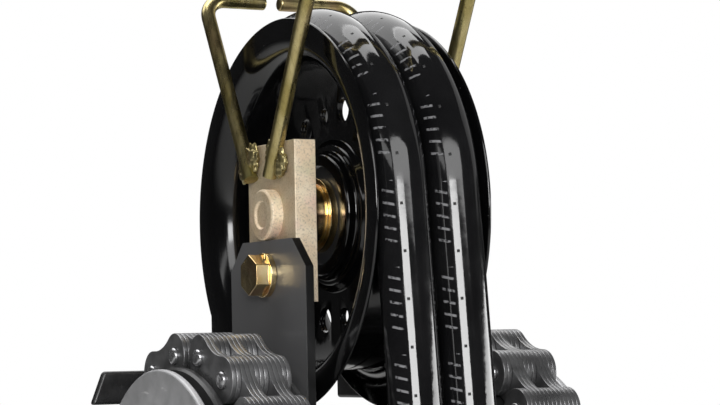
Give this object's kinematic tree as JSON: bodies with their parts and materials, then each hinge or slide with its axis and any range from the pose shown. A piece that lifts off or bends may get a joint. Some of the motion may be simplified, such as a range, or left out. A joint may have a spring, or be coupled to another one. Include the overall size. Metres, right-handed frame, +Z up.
{
  "type": "fork lift mast hose pulley and chain sheave crosshead",
  "caption": "Mast crosshead for a fork lift: a double-groove hose pulley on a bracket above leaf chains running over side sheaves, with wire hose guides.",
  "frame": {"origin": "centre of the ram socket's mouth, on the underside of the crosshead", "axes": "+Z up along the lift ram, +X to the front of the mast, Y along the pulley and sheave axles with -Y the left side"},
  "size_m": [0.1639, 0.1474, 0.2926],
  "materials": {
    "strap_zinc": "yellow passivated zinc on flat bar, satin with an iridescent bloom",
    "rod_zinc": "yellow passivated zinc on drawn rod, olive gold",
    "fastener_zinc": "yellow passivated zinc on turned parts",
    "bright_zinc": "clear passivated zinc",
    "hose_rubber": "smooth black hose cover, semi gloss",
    "gloss_black": "gloss black powder coat on pressed steel",
    "plate_black": "gloss black paint on plate",
    "chain_steel": "heat darkened steel with a film of oil",
    "pin_steel": "riveted pin ends, worn brighter",
    "dark_steel": "phosphated forged steel",
    "sheave_steel": "turned and phosphated",
    "guard_steel": "blanked steel disc, fine matt grain",
    "bearing_steel": "ground",
    "shaft_steel": "turned",
    "black_oxide": "black oxide"
  },
  "bodies": {
    "crosshead_frame": {"axle_spacers": "fastener_zinc", "bolt_lock_washers": "fastener_zinc", "chain_anchor_nuts": "bright_zinc", "crosshead": "plate_black", "hose_guide_welds": "rod_zinc", "left_axle_strap": "strap_zinc", "left_bearing_inner_ring": "bearing_steel", "left_chain_inner_plates": "chain_steel", "left_chain_keeper": "dark_steel", "left_chain_outer_plates": "chain_steel", "left_chain_pins": "pin_steel", "left_front_chain_anchor": "dark_steel", "left_front_hose_guide": "rod_zinc", "left_hose": "hose_rubber", "left_hose_ferrules": "bright_zinc", "left_hose_nuts": "bright_zinc", "left_rear_chain_anchor": "dark_steel", "left_rear_hose_guide": "rod_zinc", "left_sheave_guard": "guard_steel", "left_side_plate": "plate_black", "pulley_axle": "fastener_zinc", "pulley_bearing_inner_ring": "bearing_steel", "ram_locking_screw": "black_oxide", "right_axle_strap": "strap_zinc", "right_bearing_inner_ring": "bearing_steel", "right_chain_inner_plates": "chain_steel", "right_chain_keeper": "dark_steel", "right_chain_outer_plates": "chain_steel", "right_chain_pins": "pin_steel", "right_front_chain_anchor": "dark_steel", "right_front_hose_guide": "rod_zinc", "right_hose": "hose_rubber", "right_hose_ferrules": "bright_zinc", "right_hose_nuts": "bright_zinc", "right_rear_chain_anchor": "dark_steel", "right_rear_hose_guide": "rod_zinc", "right_sheave_guard": "guard_steel", "right_side_plate": "plate_black", "shaft_circlips": "black_oxide", "sheave_shaft": "shaft_steel", "sheave_spacer_rings": "shaft_steel", "sheave_thrust_washers": "shaft_steel", "side_plate_bolts": "fastener_zinc", "side_plate_screws": "black_oxide"},
    "hose_pulley": {"pulley_left_shell": "gloss_black", "pulley_right_shell": "gloss_black", "pulley_bearing_outer_ring": "bearing_steel", "pulley_bearing_seals": "bearing_steel"},
    "hose_pulley_cage": {"pulley_bearing_cage": "bearing_steel", "pulley_bearing_balls": "bearing_steel"},
    "left_sheave": {"left_chain_sheave": "sheave_steel", "left_bearing_outer_ring": "bearing_steel", "left_bearing_seals": "bearing_steel"},
    "left_sheave_cages": {"left_bearing_cage": "bearing_steel", "left_bearing_balls": "bearing_steel"},
    "right_sheave": {"right_chain_sheave": "sheave_steel", "right_bearing_outer_ring": "bearing_steel", "right_bearing_seals": "bearing_steel"},
    "right_sheave_cages": {"right_bearing_cage": "bearing_steel", "right_bearing_balls": "bearing_steel"}
  },
  "joints": [
    {"name": "hose_pulley_spin", "type": "hinge", "parent": "crosshead_frame", "child": "hose_pulley", "pos_m": [0, -0.00275, 0.1515], "axis": [0, 1, 0], "continuous": true},
    {"name": "hose_pulley_cage_spin", "type": "hinge", "parent": "crosshead_frame", "child": "hose_pulley_cage", "pos_m": [0, -0.00275, 0.1515], "axis": [0, 1, 0], "continuous": true},
    {"name": "left_sheave_spin", "type": "hinge", "parent": "crosshead_frame", "child": "left_sheave", "pos_m": [0, 0, 0.05], "axis": [0, 1, 0], "continuous": true},
    {"name": "left_sheave_cage_spin", "type": "hinge", "parent": "crosshead_frame", "child": "left_sheave_cages", "pos_m": [0, 0, 0.05], "axis": [0, 1, 0], "continuous": true},
    {"name": "right_sheave_spin", "type": "hinge", "parent": "crosshead_frame", "child": "right_sheave", "pos_m": [0, 0, 0.05], "axis": [0, 1, 0], "continuous": true},
    {"name": "right_sheave_cage_spin", "type": "hinge", "parent": "crosshead_frame", "child": "right_sheave_cages", "pos_m": [0, 0, 0.05], "axis": [0, 1, 0], "continuous": true}
  ],
  "couplings": [
    {"joint": "hose_pulley_cage_spin", "follows": "hose_pulley_spin", "ratio": 0.6193},
    {"joint": "left_sheave_cage_spin", "follows": "left_sheave_spin", "ratio": 0.6035},
    {"joint": "right_sheave_cage_spin", "follows": "right_sheave_spin", "ratio": 0.6035}
  ]
}
